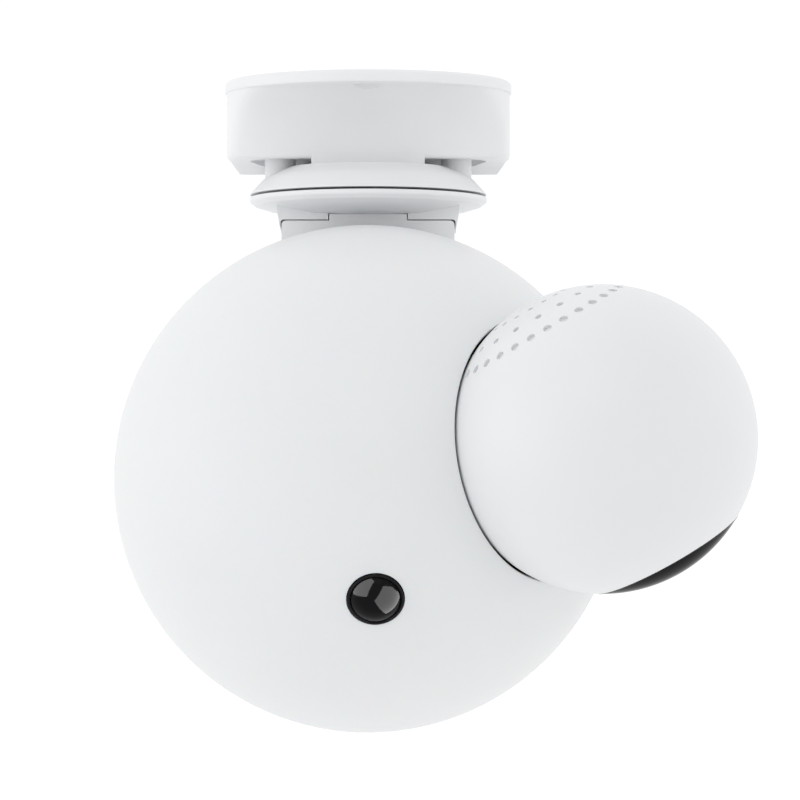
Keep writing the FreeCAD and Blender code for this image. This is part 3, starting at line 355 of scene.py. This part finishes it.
def from_wall(depth, x=0.0, z=0.0):
    """A place at a depth from the wall, facing out from it."""
    return placed((x, -depth, z), OUTWARD)


def bar_ring(depth, half, inset, segments=256):
    """The bar's outline at one depth: a round with two flat sides, blended softly together."""
    sharpness = 10
    ring = []
    for index in range(segments):
        turn = 2 * math.pi * index / segments
        to_side = abs(math.sin(turn)) / half
        reach = (BAR_RADIUS ** -sharpness + to_side ** sharpness) ** (-1 / sharpness) - inset
        ring.append((reach * math.cos(turn), -depth, reach * math.sin(turn)))
    return ring


def lofted(name, rings):
    """A closed skin through rings of points that match one to one."""
    bm = bmesh.new()
    rows = [[bm.verts.new(point) for point in ring] for ring in rings]
    count = len(rows[0])
    for low, high in zip(rows, rows[1:]):
        for index in range(count):
            after = (index + 1) % count
            bm.faces.new((low[index], low[after], high[after], high[index]))
    bm.faces.new(rows[0][::-1])
    bm.faces.new(rows[-1])
    return keep(name, bm)


def make_bar():
    """The bar across the plate: coved sides that sweep out to the plate, and a rounded lower edge."""
    rings = []
    steps = 30
    edge = 2.0
    for step in range(steps + 1):
        turn = math.radians(90 * step / steps)
        depth = COVE_DEPTH - COVE_RADIUS * math.cos(turn)
        if depth > BAR_DEPTH - edge:
            break
        rings.append(bar_ring(depth, COVE_OUT - COVE_RADIUS * math.sin(turn), 0))
    for step in range(7):
        turn = math.radians(15 * step)
        inset = edge * (1 - math.cos(turn))
        rings.append(bar_ring(BAR_DEPTH - edge + edge * math.sin(turn), BAR_HALF + 0.05, inset))
    rings.insert(0, [(x, -PLATE_DEPTH + 2, z) for x, y, z in rings[0]])
    return lofted("bar", rings)


def make_skirt():
    """The low wall along the back of the bar, its ends cut to a slope."""
    plan = rounded([(-47.5, 0, 0), (47.5, 0, 0), (46, BAR_HALF, 7), (-46, BAR_HALF, 7)], 0)
    wall = prism("skirt", plan, SKIRT_DEPTH - SKIRT_TOP, placed((0, -SKIRT_TOP, 0), OUTWARD))
    centre = -BAR_DEPTH - SWEEP_RADIUS + 0.04
    sweep = arc((centre, SWEEP_START), SWEEP_RADIUS, 0, 60, 24)
    sweep += [Vector((centre, 30)), Vector((centre, -30)), Vector((centre + SWEEP_RADIUS, -30))]
    along_x = Matrix(((0, 0, 1, -60), (1, 0, 0, 0), (0, 1, 0, 0), (0, 0, 0, 1)))
    combine(wall, [prism("sweep", sweep, 120, along_x)])
    slopes = []
    for side in (-1, 1):
        at = Vector((side * BAR_RADIUS, -CHAMFER_DEPTH, 0))
        slope = placed(at, Vector((side * 0.782, -0.623, 0)))
        slopes.append(prism("slope", [(-30, -30), (30, -30), (30, 30), (-30, 30)], 20, slope))
    return combine(wall, slopes)


def make_bracket():
    """The round plate, the bar with its skirt, the post wells and the screw holes."""
    plate = turned("wall_bracket_skin", rounded([
        (0, 0, 0), (PLATE_RADIUS - PLATE_LIP, 0, 0.3), (PLATE_RADIUS, PLATE_LIP, 0.6),
        (PLATE_RADIUS, PLATE_DEPTH, 0.8),
        (0, PLATE_DEPTH, 0),
    ], 0.5), from_wall(0), 256)
    boss = prism("boss", rounded([
        (-BOSS_HALF, 1 - BAR_HALF, 0.6), (BOSS_HALF, 1 - BAR_HALF, 0.6), (BOSS_HALF, BAR_HALF - 1, 0.6),
        (-BOSS_HALF, BAR_HALF - 1, 0.6)], 0), 29.15 - 24, placed((0, -24, -0.9), OUTWARD))
    combine(plate, [make_bar(), make_skirt(), boss], "UNION")
    cutters = []
    for side in (-1, 1):
        spot = side * SCREW_OFFSET
        cutters.append(rod("hole", 2.3, 4, (0, 1, spot), OUTWARD))
        cutters.append(turned("recess", [(0, 1.6), (4.3, 1.6), (4.9, 2.6), (5.2, 8), (0, 8)],
                              from_wall(0, 0, spot), 64))
        post = side * POST_OFFSET
        well = rounded([(0, 25.7, 0), (POST_WELL_RADIUS - 0.3, 25.7, 0.5), (POST_WELL_RADIUS, 30, 0),
                        (0, 30, 0)], 0)
        cutters.append(turned("well", well, from_wall(0, post), 96))
        cutters.append(rod("clear", POST_RADIUS + 0.6, 10, (post, -21.5, 0), OUTWARD))
    cone = [(0, 29.2), (28.2, 29.2), (34.2, 35.2), (0, 35.2)]
    cutters.append(turned("pocket", cone, from_wall(0), 128))
    cutters.append(rod("wiring", WIRING_RADIUS, 21, (0, 1, 0), OUTWARD))
    groove = [(41.5, -1), (46.5, -1), (46.5, 1.4), (41.5, 1.4)]
    cutters.append(turned("gasket_groove", groove, from_wall(0), 192))
    cutters.append(rod("tube_way", 10.5, 9, (0, -25.8, 0), OUTWARD))
    return combine(plate, cutters)


bracket = make_bracket()
eased(bracket, 0.35, 35, 2)
finish_piece(bracket, "bracket", "white_metal", WHITE_METAL, "wall_bracket")


def make_flange():
    """The cone, its rolled lip and the two posts that carry it."""
    cone = turned("fixed_flange_skin", rounded([
        (7, 29.2, 0), (27.2, 29.2, 0.5), (35.2, 32.7, 9), (40.0, 37.8, 0.7),
        (FLANGE_RADIUS, FLANGE_FACE, 0.45), (7, FLANGE_FACE, 0),
    ], 0.4), from_wall(0), 192)
    posts = []
    for side in (-1, 1):
        posts.append(rod("post", POST_RADIUS, 15, (side * POST_OFFSET, -POST_TOP, 0), OUTWARD, 64))
    return combine(cone, posts, "UNION")


finish_piece(make_flange(), "bracket", "white_metal", WHITE_METAL, "fixed_flange")

# ---------------------------------------------------------------- arm


def make_arm():
    """The turning disc with its domed underside, the ears and the thin cheeks beside the neck."""
    disc = turned("swivel_arm_skin", rounded([
        (7.05, ARM_TOP, 0), (FLANGE_RADIUS, ARM_TOP, 0.5), (FLANGE_RADIUS, 40.8, 1.2), (38.5, 42.3, 1.8),
        (34, 43.65, 5), (26, 45.6, 5), (20, 46.08, 4), (12, 46.1, 0), (11.6, 46.1, 0),
        (11.6, 41.1, 0), (7.05, 41.1, 0),
    ], 0.5, 7), from_wall(0), 192)
    inner = TONGUE_HALF + 0.35
    bend = 1.7
    adds = []
    for side in (-1, 1):
        # the ear's front view: a thick block whose outer wall runs on down as a thin cheek
        front = rounded([
            (inner, 41, 0), (YOKE_WIDTH, 41, 0), (YOKE_WIDTH, 44.5, 4), (30.2, 48, 4),
            (29.9, CHEEK_DEPTH, 0.3), (NECK_WIDTH + 0.35, CHEEK_DEPTH, 0.05),
            (NECK_WIDTH + 0.35, YOKE_DEPTH, bend), (inner, YOKE_DEPTH, 0.1),
        ], 0)
        outline = [(side * x, -depth) for x, depth in front]
        adds.append(prism("ear", outline, 2 * YOKE_HALF, Matrix.Translation((0, 0, -YOKE_HALF))))
        start = Vector((side * inner, HINGE.y, HINGE.z))
        adds.append(rod("knuckle", KNUCKLE, KNUCKLE_WIDTH - inner, start, (side, 0, 0), 64))
        low, high = sorted((side * inner, side * KNUCKLE_WIDTH))
        adds.append(slab("web", (low, HINGE.y, HINGE.z - KNUCKLE), (high, -45, HINGE.z + KNUCKLE)))
    combine(disc, adds, "UNION")
    seats = []
    for side in (-1, 1):
        seat = Vector((side * (KNUCKLE_WIDTH - 1.2), HINGE.y, HINGE.z))
        seats.append(rod("cap_seat", 4.62, 5, seat, (side, 0, 0)))
    seats.append(rod("ear_bore", 3.02, 80, (-40, HINGE.y, HINGE.z), (1, 0, 0)))
    return combine(disc, seats)


arm = make_arm()
eased(arm, 0.3, 35, 2)
finish_piece(arm, "arm", "white_metal", WHITE_METAL, "swivel_arm")

# ---------------------------------------------------------------- neck


def make_neck():
    """The block below the arm: a raised middle between the ears, and the hinge's tongue."""
    shoulder = YOKE_DEPTH + 0.35
    front = rounded([(-NECK_WIDTH, -78, 0), (NECK_WIDTH, -78, 0), (NECK_WIDTH, -shoulder, 1.7),
                     (-NECK_WIDTH, -shoulder, 1.7)], 0)
    body = prism("hinge_block_skin", front, HINGE.z + YOKE_HALF, Matrix.Translation((0, 0, -YOKE_HALF)))
    cuts = []
    for side in (-1, 1):
        start = Vector((side * TONGUE_HALF, HINGE.y, HINGE.z))
        cuts.append(rod("ear_relief", KNUCKLE + 0.5, 30, start, (side, 0, 0), 64))
        low, high = sorted((side * TONGUE_HALF, side * 60))
        cuts.append(slab("ear_slot", (low, HINGE.y, HINGE.z - KNUCKLE - 0.5), (high, -40, HINGE.z + 7)))
    combine(body, cuts)
    adds = [slab("middle", (-TONGUE_HALF, -78, -YOKE_HALF + 0.001), (TONGUE_HALF, -TONGUE_TOP, HINGE.z)),
            slab("web", (-TONGUE_HALF + 0.001, -68, HINGE.z - KNUCKLE),
                 (TONGUE_HALF - 0.001, HINGE.y, HINGE.z + KNUCKLE)),
            rod("tongue", KNUCKLE, 2 * TONGUE_HALF, (-TONGUE_HALF, HINGE.y, HINGE.z), (1, 0, 0), 64)]
    combine(body, adds, "UNION")
    skin = turned("seat", arc((0, 0), HEAD_RADIUS - 0.2, -90, 90, 96), placed(HEAD_CENTRE, UP), 192)
    way = rod("bore", 3.05, 120, (-60, HINGE.y, HINGE.z), (1, 0, 0))
    wires = rod("wires", 4.4, 60, (0, -40, 0), OUTWARD)
    return combine(body, [skin, way, wires])


neck = make_neck()
eased(neck, 0.3, 35, 2)
pad = slab("tongue_pad", (-TONGUE_HALF + 0.02, -TONGUE_TOP - 1, -YOKE_HALF + 0.02),
           (TONGUE_HALF - 0.02, -TONGUE_TOP + 0.06, HINGE.z - 1))
combine(neck, [pad], "UNION")
finish_piece(neck, "lamp_head", "white_metal", WHITE_METAL, "hinge_block")

# ---------------------------------------------------------------- head


def screw_corners():
    """The four screw places, 45 degrees off the head's axes."""
    for quarter in range(4):
        turn = math.radians(45 + 90 * quarter)
        yield HEAD_CENTRE + Vector((HEAD_SCREWS * math.cos(turn), HEAD_SCREWS * math.sin(turn), 0))


def make_housing():
    """The upper shell down to the parting line, where both rims are slightly rounded."""
    first = math.degrees(math.asin(PARTING_RISE / HEAD_RADIUS))
    inside = HEAD_RADIUS - HEAD_WALL
    start = math.degrees(math.asin(PARTING_RISE / inside))
    rim = HEAD_RADIUS * math.cos(math.radians(first))
    lip = [Vector((rim - 0.5, PARTING_RISE)), Vector((rim - 0.15, PARTING_RISE + 0.12)),
           Vector((rim - 0.03, PARTING_RISE + 0.35))]
    outer = arc((0, 0), HEAD_RADIUS, first + 0.5, 90, 110)
    inner = arc((0, 0), inside, 90, start, 90)
    shell = turned("top_housing_skin", lip + outer + inner, placed(HEAD_CENTRE, UP), 288)
    wells = []
    for spot in screw_corners():
        wells.append(rod("well", HEAD_SCREW_WELL, 70, spot + Vector((0, 0, 9)), UP, 48))
    return combine(shell, wells)


def make_boss_tubes():
    """The tubes that line the four screw wells down to the screw heads."""
    tubes = []
    for spot in screw_corners():
        low = 8.0
        high = math.sqrt(HEAD_RADIUS ** 2 - HEAD_SCREWS ** 2) - 4
        outer = HEAD_SCREW_WELL + 1.2
        outline = [(HEAD_SCREW_WELL, low), (outer, low), (outer, high), (HEAD_SCREW_WELL, high)]
        tubes.append(turned("tube", outline, placed(spot, UP), 48))
    first = tubes[0]
    first.name = "screw_well_tubes"
    return combine(first, tubes[1:], "UNION")


def make_dome():
    """The opal shell: turned about the socket's axis, so that the socket's lip is one clean round."""
    plane = (HEAD_RADIUS ** 2 - SOCKET_RADIUS ** 2 + BALL_DISTANCE ** 2) / (2 * BALL_DISTANCE)
    rim = math.degrees(math.acos(plane / HEAD_RADIUS))
    inside = HEAD_RADIUS - HEAD_WALL
    plane_in = (inside ** 2 - SOCKET_RADIUS ** 2 + BALL_DISTANCE ** 2) / (2 * BALL_DISTANCE)
    rim_in = math.degrees(math.acos(plane_in / inside))
    outer = arc((0, 0), HEAD_RADIUS, -90, 90 - rim - 0.35, 170)
    corner = Vector((HEAD_RADIUS * math.sin(math.radians(rim)), plane))
    well = Vector((inside * math.sin(math.radians(rim_in)), plane_in))
    down = (well - corner).normalized()
    lip = []
    start = outer[-1]
    end = corner + down * 0.5
    for step in range(1, 7):
        t = step / 6
        lip.append(start * (1 - t) ** 2 + corner * 2 * t * (1 - t) + end * t ** 2)
    inner = arc((0, 0), inside, 90 - rim_in, -90, 120)
    shell = turned("diffuser_dome_skin", outer + lip + inner, placed(HEAD_CENTRE, BALL_DIRECTION), 320)
    level = HEAD_CENTRE.z + PARTING_RISE
    above = slab("above", (-150, -300, level), (150, 50, level + 150))
    start = HEAD_CENTRE + SENSOR_DIRECTION * 60
    hole = rod("sensor_hole", SENSOR_HOLE, 40, start, SENSOR_DIRECTION, 96)
    return combine(shell, [above, hole])


finish_piece(make_housing(), "lamp_head", "white_shell", WHITE_SHELL, "top_housing")
finish_piece(make_boss_tubes(), "lamp_head", "white_shell", WHITE_SHELL)
finish_piece(make_dome(), "lamp_head", "opal_dome", OPAL, "diffuser_dome")

# ---------------------------------------------------------------- motion sensor


def make_sensor():
    """The black ring with its sloping edge, and the polished dome inside it."""
    at = placed(HEAD_CENTRE, SENSOR_DIRECTION)
    ring = turned("sensor_bezel_skin", rounded([
        (SENSOR_BORE, 76, 0), (SENSOR_RING - 0.05, 76, 0), (SENSOR_RING, 85.0, 0.3),
        (8.7, 85.4, 0.3), (SENSOR_BORE, 85.0, 0.2),
    ], 0.2), at, 160)
    finish_piece(ring, "lamp_head", "black_plastic", RING_BLACK, "sensor_bezel")
    middle = 79.3
    edge = math.degrees(math.acos(SENSOR_DOME / SENSOR_CURVE))
    outline = [Vector((0, 78)), Vector((SENSOR_DOME, 78))]
    outline += arc((0, middle), SENSOR_CURVE, edge, 90, 40)
    dome = turned("sensor_lens_skin", outline, at, 160)
    finish_piece(dome, "lamp_head", "sensor_black", SENSOR_BLACK, "sensor_lens")


make_sensor()

# ---------------------------------------------------------------- camera ball


def make_ball():
    """The ball's shell, turned about the lens axis, with its speaker holes and openings."""
    inside = BALL_RADIUS - BALL_WALL
    edge = math.degrees(math.asin(WINDOW_EDGE / BALL_RADIUS))
    outer = arc((0, 0), BALL_RADIUS, -90, edge - 0.3, 150)
    rim = math.sqrt(BALL_RADIUS ** 2 - WINDOW_EDGE ** 2)
    lip = [Vector((rim - 0.02, WINDOW_EDGE - 0.08)), Vector((rim - 0.12, WINDOW_EDGE)),
           Vector((27, WINDOW_EDGE)), Vector((27, WINDOW_EDGE - 2.4))]
    start = math.degrees(math.asin((WINDOW_EDGE - 2.9) / inside))
    inner = arc((0, 0), inside, start, -90, 100)
    shell = turned("ball_shell_skin", outer + lip + inner, placed(BALL_CENTRE, LENS_DIRECTION), 256)
    cuts = []
    cone = [(0, 0), (41, 60), (0, 60)]
    cuts.append(turned("stem_opening", cone, placed(BALL_CENTRE, -BALL_DIRECTION), 96))
    seat = BALL_CENTRE + COVER_DIRECTION * 44
    cuts.append(rod("cover_opening", COVER_RADIUS + 0.12, 20, seat, COVER_DIRECTION, 96))
    combine(shell, cuts)
    return combine(shell, [make_sound_holes()])


def make_sound_holes():
    """One cutter for all the speaker holes: three rings about the speaker's axis."""
    base = placed((0, 0, 0), SOUND_DIRECTION)
    bm = bmesh.new()
    for angle, count, radius, phase in SOUND_RINGS:
        lean = math.radians(angle)
        for index in range(count):
            turn = 2 * math.pi * (index + phase) / count
            local = Vector((math.sin(lean) * math.cos(turn), math.sin(lean) * math.sin(turn), math.cos(lean)))
            direction = base.to_3x3() @ local
            spot = placed(BALL_CENTRE + direction * (BALL_RADIUS + 0.3), direction)
            bmesh.ops.create_cone(bm, cap_ends=True, segments=32, radius1=radius, radius2=radius,
                                  depth=2.8, matrix=spot)
    return keep("sound_cutter", bm)


finish_piece(make_ball(), "camera_ball", "ball_white", BALL_WHITE, "ball_shell")


def make_window():
    """The polished black cap that closes the ball over the lens."""
    low = WINDOW_EDGE + 0.15
    edge = math.degrees(math.asin(low / BALL_RADIUS))
    inside = BALL_RADIUS - 1.8
    start = math.degrees(math.asin(low / inside))
    rim = math.sqrt(BALL_RADIUS ** 2 - low ** 2)
    outline = arc((0, 0), inside, 90, start, 40)
    outline += [Vector((rim - 0.15, low)), Vector((rim - 0.02, low + 0.1))]
    outline += arc((0, 0), BALL_RADIUS, edge + 0.3, 90, 60)
    return turned("camera_window_skin", outline, placed(BALL_CENTRE, LENS_DIRECTION), 256)


finish_piece(make_window(), "camera_ball", "dark_window", WINDOW_BLACK, "camera_window")


def make_cover():
    """The round service cover on the ball's far side, with a finger notch at its edge."""
    lid = math.degrees(math.acos(COVER_RADIUS / BALL_RADIUS))
    floor = BALL_RADIUS - 1.4
    under = math.degrees(math.acos(COVER_RADIUS / floor))
    outline = arc((0, 0), BALL_RADIUS, lid + 0.3, 90, 24) + arc((0, 0), floor, 90, under, 16)
    high = BALL_RADIUS * math.sin(math.radians(lid))
    outline += [Vector((COVER_RADIUS, high - 0.2)), Vector((COVER_RADIUS - 0.05, high - 0.02))]
    cover = turned("service_cover_skin", outline, placed(BALL_CENTRE, COVER_DIRECTION), 128)
    turn = placed((0, 0, 0), COVER_DIRECTION).to_3x3()
    at = BALL_CENTRE + turn @ Vector((COVER_RADIUS - 1.5, 0, BALL_RADIUS - 0.9))
    return combine(cover, [rod("notch", 3.0, 6, at, COVER_DIRECTION, 40)])


finish_piece(make_cover(), "camera_ball", "ball_white", BALL_WHITE, "service_cover")

# ---------------------------------------------------------------- stage, light and camera


def stage_floor():
    """A wide pale floor, well below the camera."""
    mesh = bpy.data.meshes.new("floor")
    bm = bmesh.new()
    size = 60.0
    level = -3.4
    corners = [(-size, -size), (size, -size), (size, size), (-size, size)]
    bm.faces.new([bm.verts.new((x, y, level)) for x, y in corners])
    bm.to_mesh(mesh)
    bm.free()
    floor = bpy.data.objects.new("floor", mesh)
    bpy.context.scene.collection.objects.link(floor)
    floor.data.materials.append(material("pale floor", (0.82, 0.82, 0.82), 0.9, spread=0.002))


def area_light(name, at, size, power, target, tint=(1, 1, 1)):
    """A soft box in metres and watts, aimed at a point and unseen by the camera itself."""
    light = bpy.data.lights.new(name, "AREA")
    light.shape = "RECTANGLE"
    light.size, light.size_y = size
    light.energy = power
    light.color = tint
    item = bpy.data.objects.new(name, light)
    bpy.context.scene.collection.objects.link(item)
    item.location = at
    item.rotation_mode = "QUATERNION"
    item.rotation_quaternion = (Vector(target) - Vector(at)).to_track_quat("-Z", "Y")
    item.visible_camera = False
    return item


def light_scene():
    """An even white studio, with soft boxes at both sides and one from behind the wall plate."""
    world = bpy.data.worlds.new("studio")
    bpy.context.scene.world = world
    world.use_nodes = True
    sky = world.node_tree.nodes["Background"]
    sky.inputs["Color"].default_value = (1, 1, 1, 1)
    sky.inputs["Strength"].default_value = 1.08
    middle = HEAD_CENTRE * MM
    area_light("left_soft", middle + Vector((1.5, 0.1, -0.7)), (1.4, 1.8), 4.2, middle, (0.97, 0.985, 1.0))
    area_light("right_soft", middle + Vector((-1.6, -0.5, -0.5)), (1.2, 1.6), 1.2, middle)
    bracket_spot = Vector((0, -0.03, 0))
    area_light("high_soft", bracket_spot + Vector((0, 1.0, -1.5)), (1.6, 0.8), 1.6, bracket_spot)


def mirrored_lights(skin, spot, boxes):
    """Soft boxes that show only as reflections in one polished piece; each is (offset, size, power)."""
    receivers = bpy.data.collections.new(skin + "_receivers")
    receivers.objects.link(bpy.data.objects[skin])
    for index, (offset, size, power) in enumerate(boxes):
        light = area_light(f"{skin}_box_{index}", spot + Vector(offset), size, power, spot)
        light.visible_diffuse = False
        light.light_linking.receiver_collection = receivers


def light_gloss():
    """The two soft boxes mirrored in the sensor's dome."""
    sensor = (HEAD_CENTRE + SENSOR_DIRECTION * HEAD_RADIUS) * MM
    mirrored_lights("sensor_lens_skin", sensor, [
        ((1.3, 0.6, -1.0), (2.6, 2.4), 430),
        ((-1.1, -0.65, -0.6), (2.5, 2.9), 440),
    ])


def make_camera():
    """A long lens under the lamp, looking up at it with a slight lean."""
    camera = bpy.data.cameras.new("camera")
    camera.lens = 300
    camera.sensor_width = 36
    camera.clip_end = 200
    item = bpy.data.objects.new("camera", camera)
    bpy.context.scene.collection.objects.link(item)
    lean = math.radians(2.8)
    right = Vector((-1, 0, 0))
    up = Vector((0, math.cos(lean), -math.sin(lean)))
    back = right.cross(up)
    turn = Matrix((right, up, back)).transposed().to_4x4()
    item.matrix_world = Matrix.Translation((-0.0108, -0.2188, -2.2626)) @ turn
    bpy.context.scene.camera = item


stage_floor()
light_scene()
light_gloss()
make_camera()
bpy.context.scene.view_settings.view_transform = "Standard"
